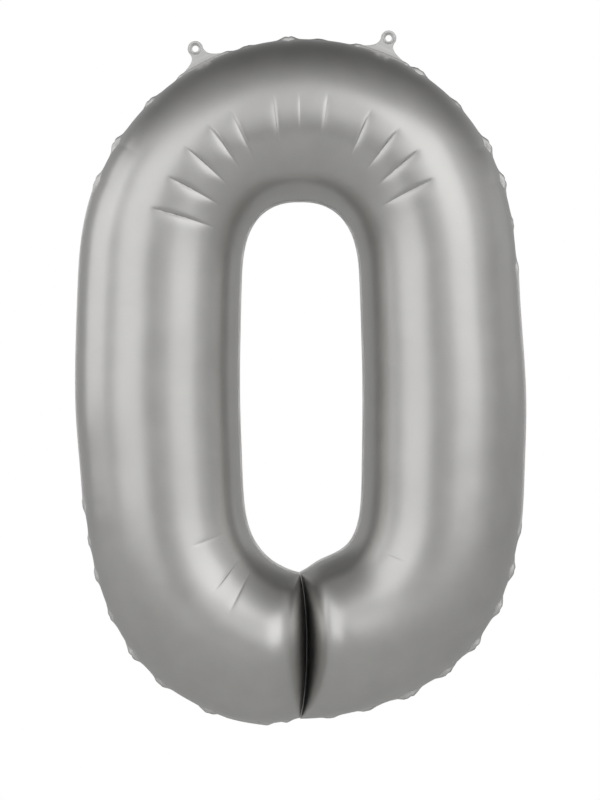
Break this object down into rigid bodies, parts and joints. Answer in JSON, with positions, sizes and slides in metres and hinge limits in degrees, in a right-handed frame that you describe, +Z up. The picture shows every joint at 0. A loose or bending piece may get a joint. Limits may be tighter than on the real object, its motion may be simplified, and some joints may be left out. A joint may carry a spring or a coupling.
{
  "type": "foil number balloon",
  "caption": "Inflated foil balloon in the shape of the digit zero, in satin grey film, with two hanging tabs and a folded inlet tail with its valve.",
  "frame": {"origin": "on the line through the two hanging holes, where the digit's centre plane crosses it, in the plane of the sealed margins", "axes": "+Z up the digit, -Y out of its front face, +X to the right as it is read"},
  "size_m": [0.566, 0.1978, 0.8762],
  "materials": {
    "satin_film": "satin metallised film, warm mid grey",
    "sealed_film": "satin metallised film, flat and heat sealed, paler",
    "valve_film": "thin clear plastic film"
  },
  "bodies": {
    "digit": {"front_panel": "satin_film", "rear_panel": "satin_film", "valve_front_film": "valve_film", "valve_rear_film": "valve_film"},
    "left_tab": {"left_tab_front_ply": "sealed_film", "left_tab_rear_ply": "sealed_film"},
    "right_tab": {"right_tab_front_ply": "sealed_film", "right_tab_rear_ply": "sealed_film"},
    "inlet_tail": {"inlet_tail_front_ply": "sealed_film", "inlet_tail_rear_ply": "sealed_film"}
  },
  "joints": [
    {"name": "left_tab_bend", "type": "hinge", "parent": "digit", "child": "left_tab", "pos_m": [-0.12459, 0, -0.02135], "axis": [0.8988, 0, 0.4384], "range_deg": [-90, 90]},
    {"name": "right_tab_bend", "type": "hinge", "parent": "digit", "child": "right_tab", "pos_m": [0.10416, 0, -0.01236], "axis": [0.9304, 0, -0.3665], "range_deg": [-90, 90]},
    {"name": "inlet_tail_fold", "type": "hinge", "parent": "digit", "child": "inlet_tail", "pos_m": [-0.06569, 0, -0.8553], "axis": [-0.9744, 0, 0.225], "range_deg": [0, 190]}
  ]
}
